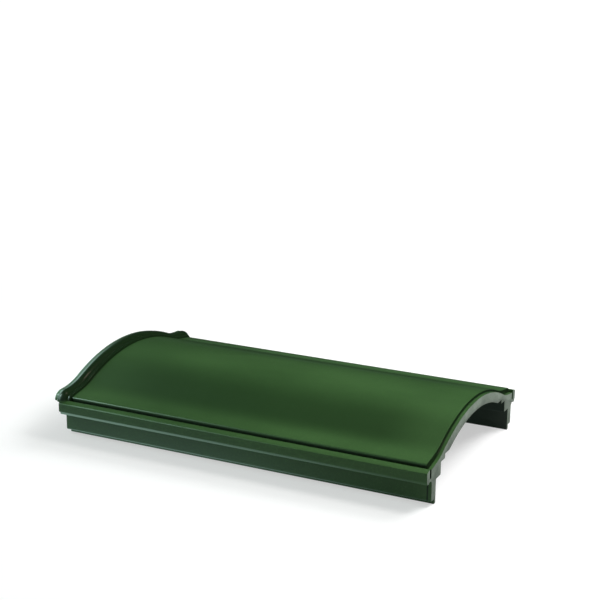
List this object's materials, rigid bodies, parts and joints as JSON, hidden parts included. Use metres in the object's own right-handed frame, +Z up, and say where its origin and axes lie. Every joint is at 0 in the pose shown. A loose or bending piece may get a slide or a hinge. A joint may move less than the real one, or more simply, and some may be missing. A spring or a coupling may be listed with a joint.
{
  "type": "wall coping stone",
  "caption": "Glazed arched coping stone that straddles a brick wall, with stepped drip edges and an end collar that laps its neighbour.",
  "frame": {"origin": "under the middle of the overall length, on the level of the legs' feet", "axes": "+X along the wall from the collar end to the plain butt end, +Y across the wall, +Z up"},
  "size_m": [0.434, 0.27, 0.0766],
  "materials": {
    "glaze": "glossy dark green glaze on fired clay"
  },
  "bodies": {
    "root": {"coping_stone": "glaze"}
  },
  "joints": []
}
